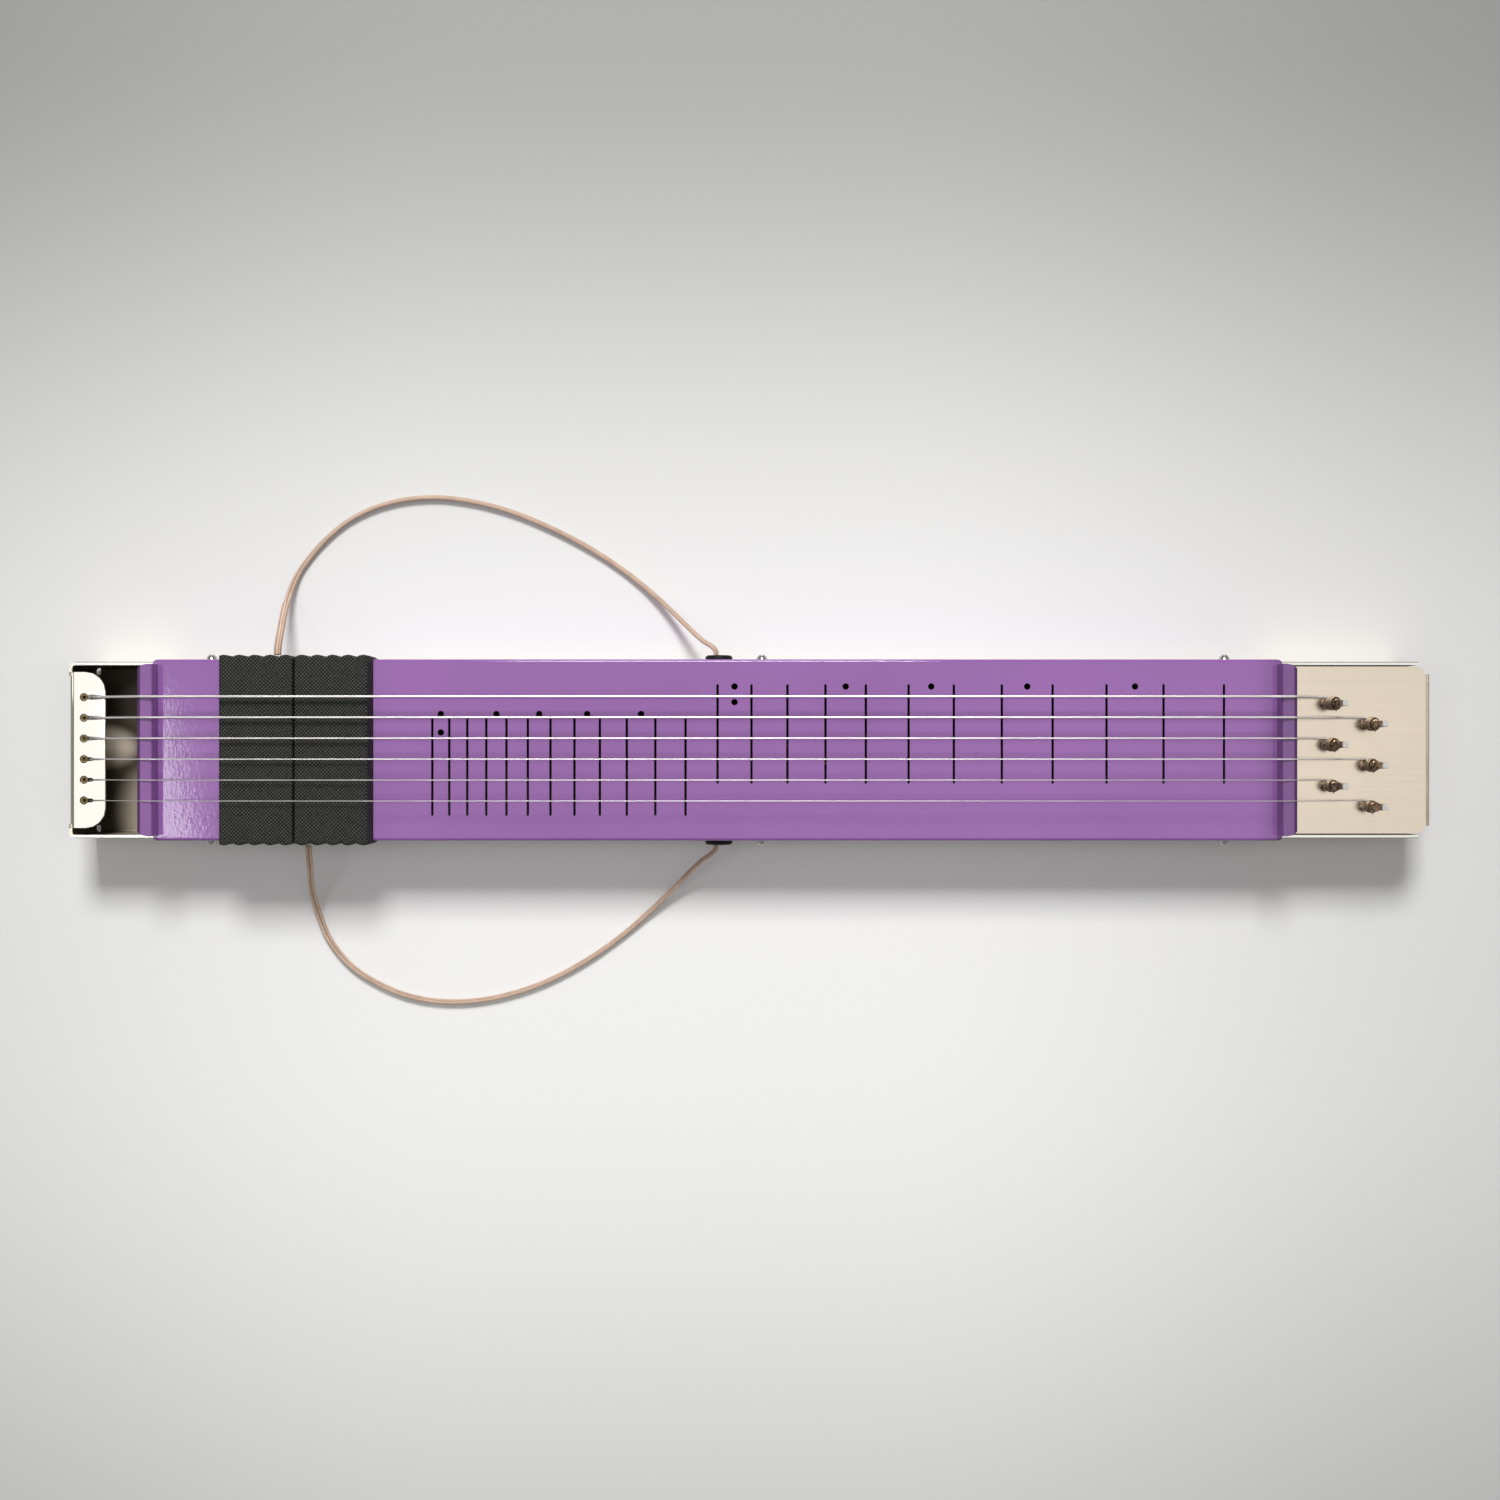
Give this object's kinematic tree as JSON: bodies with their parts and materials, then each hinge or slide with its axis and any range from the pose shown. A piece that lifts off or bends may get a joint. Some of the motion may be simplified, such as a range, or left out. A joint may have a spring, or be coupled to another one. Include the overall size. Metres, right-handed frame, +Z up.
{
  "type": "lap steel guitar",
  "caption": "Lap steel guitar of folded sheet metal: open tray body, slotted deck cover with raised bridge and nut, sliding pickups, pin tuning.",
  "frame": {"origin": "middle of the base on the surface that the instrument lies on", "axes": "+X along the strings towards the tuning pins, +Y to the bass string, +Z up"},
  "size_m": [0.6832, 0.2656, 0.0566],
  "materials": {
    "nickel_sheet": "bright nickel plate over rolled steel sheet, finely brushed",
    "purple_coat": "satin purple powder coat with a fine orange-peel",
    "black_texture": "black, moulded all over with a small crossed knurl",
    "black_rubber": "soft black rubber",
    "copper_braid": "tinned copper braid, pale pinkish tan",
    "steel_string": "drawn and wound steel wire",
    "bronze_coil": "string wound on its pin, bronze brown",
    "brass": "turned brass",
    "chrome_steel": "bright plated steel",
    "copper_wire": "enamelled copper wire",
    "magnet_steel": "cast magnet",
    "maple": "bare maple",
    "phenolic": "brown fibre board"
  },
  "bodies": {
    "root": {"tray": "nickel_sheet", "deck_cover": "purple_coat", "upper_cover_screw_1": "chrome_steel", "upper_cover_screw_2": "chrome_steel", "upper_cover_screw_3": "chrome_steel", "lower_cover_screw_1": "chrome_steel", "lower_cover_screw_2": "chrome_steel", "lower_cover_screw_3": "chrome_steel", "upper_grommet": "black_rubber", "lower_grommet": "black_rubber", "upper_lead_sleeve": "copper_braid", "upper_lead": "copper_braid", "lower_lead": "copper_braid", "upper_inner_wire": "copper_braid", "lower_inner_wire": "copper_braid", "string_1": "steel_string", "ball_end_1": "brass", "string_2": "steel_string", "ball_end_2": "brass", "string_3": "steel_string", "ball_end_3": "brass", "string_4": "steel_string", "ball_end_4": "brass", "string_5": "steel_string", "ball_end_5": "brass", "string_6": "steel_string", "ball_end_6": "brass", "pin_block": "maple", "block_screw_1": "chrome_steel", "block_screw_2": "chrome_steel", "block_screw_3": "chrome_steel", "block_screw_4": "chrome_steel", "jack_sleeve": "chrome_steel", "jack_nut": "chrome_steel", "jack_washer": "chrome_steel", "jack_wafer": "phenolic", "jack_contact": "brass"},
    "pickup_1": {"pickup_housing_1": "black_texture", "pickup_bobbin_1": "phenolic", "pickup_winding_1": "copper_wire", "pickup_magnet_1": "magnet_steel"},
    "pickup_2": {"pickup_housing_2": "black_texture", "pickup_bobbin_2": "phenolic", "pickup_winding_2": "copper_wire", "pickup_magnet_2": "magnet_steel"},
    "pin_1": {"tuning_pin_1": "chrome_steel", "string_coil_1": "bronze_coil"},
    "pin_2": {"tuning_pin_2": "chrome_steel", "string_coil_2": "bronze_coil"},
    "pin_3": {"tuning_pin_3": "chrome_steel", "string_coil_3": "bronze_coil"},
    "pin_4": {"tuning_pin_4": "chrome_steel", "string_coil_4": "bronze_coil"},
    "pin_5": {"tuning_pin_5": "chrome_steel", "string_coil_5": "bronze_coil"},
    "pin_6": {"tuning_pin_6": "chrome_steel", "string_coil_6": "bronze_coil"}
  },
  "joints": [
    {"name": "pickup_1_slide", "type": "slide", "parent": "root", "child": "pickup_1", "axis": [1, 0, 0], "range_m": [-0.029, 0], "deforming": ["upper_lead", "upper_lead_sleeve"]},
    {"name": "pickup_2_slide", "type": "slide", "parent": "root", "child": "pickup_2", "axis": [1, 0, 0], "range_m": [0, 0.165], "deforming": ["lower_lead"]},
    {"name": "pin_1_turn", "type": "hinge", "parent": "root", "child": "pin_1", "pos_m": [0.2884, 0.02314, 0.0367], "axis": [0.2079, 0, 0.9781], "range_deg": [-180, 360]},
    {"name": "pin_2_turn", "type": "hinge", "parent": "root", "child": "pin_2", "pos_m": [0.308, 0.0129, 0.0367], "axis": [0.2079, 0, 0.9781], "range_deg": [-180, 360]},
    {"name": "pin_3_turn", "type": "hinge", "parent": "root", "child": "pin_3", "pos_m": [0.2884, 0.00265, 0.0367], "axis": [0.2079, 0, 0.9781], "range_deg": [-180, 360]},
    {"name": "pin_4_turn", "type": "hinge", "parent": "root", "child": "pin_4", "pos_m": [0.308, -0.00761, 0.0367], "axis": [0.2079, 0, 0.9781], "range_deg": [-180, 360]},
    {"name": "pin_5_turn", "type": "hinge", "parent": "root", "child": "pin_5", "pos_m": [0.2884, -0.0179, 0.0367], "axis": [0.2079, 0, 0.9781], "range_deg": [-180, 360]},
    {"name": "pin_6_turn", "type": "hinge", "parent": "root", "child": "pin_6", "pos_m": [0.308, -0.02822, 0.0367], "axis": [0.2079, 0, 0.9781], "range_deg": [-180, 360]}
  ]
}
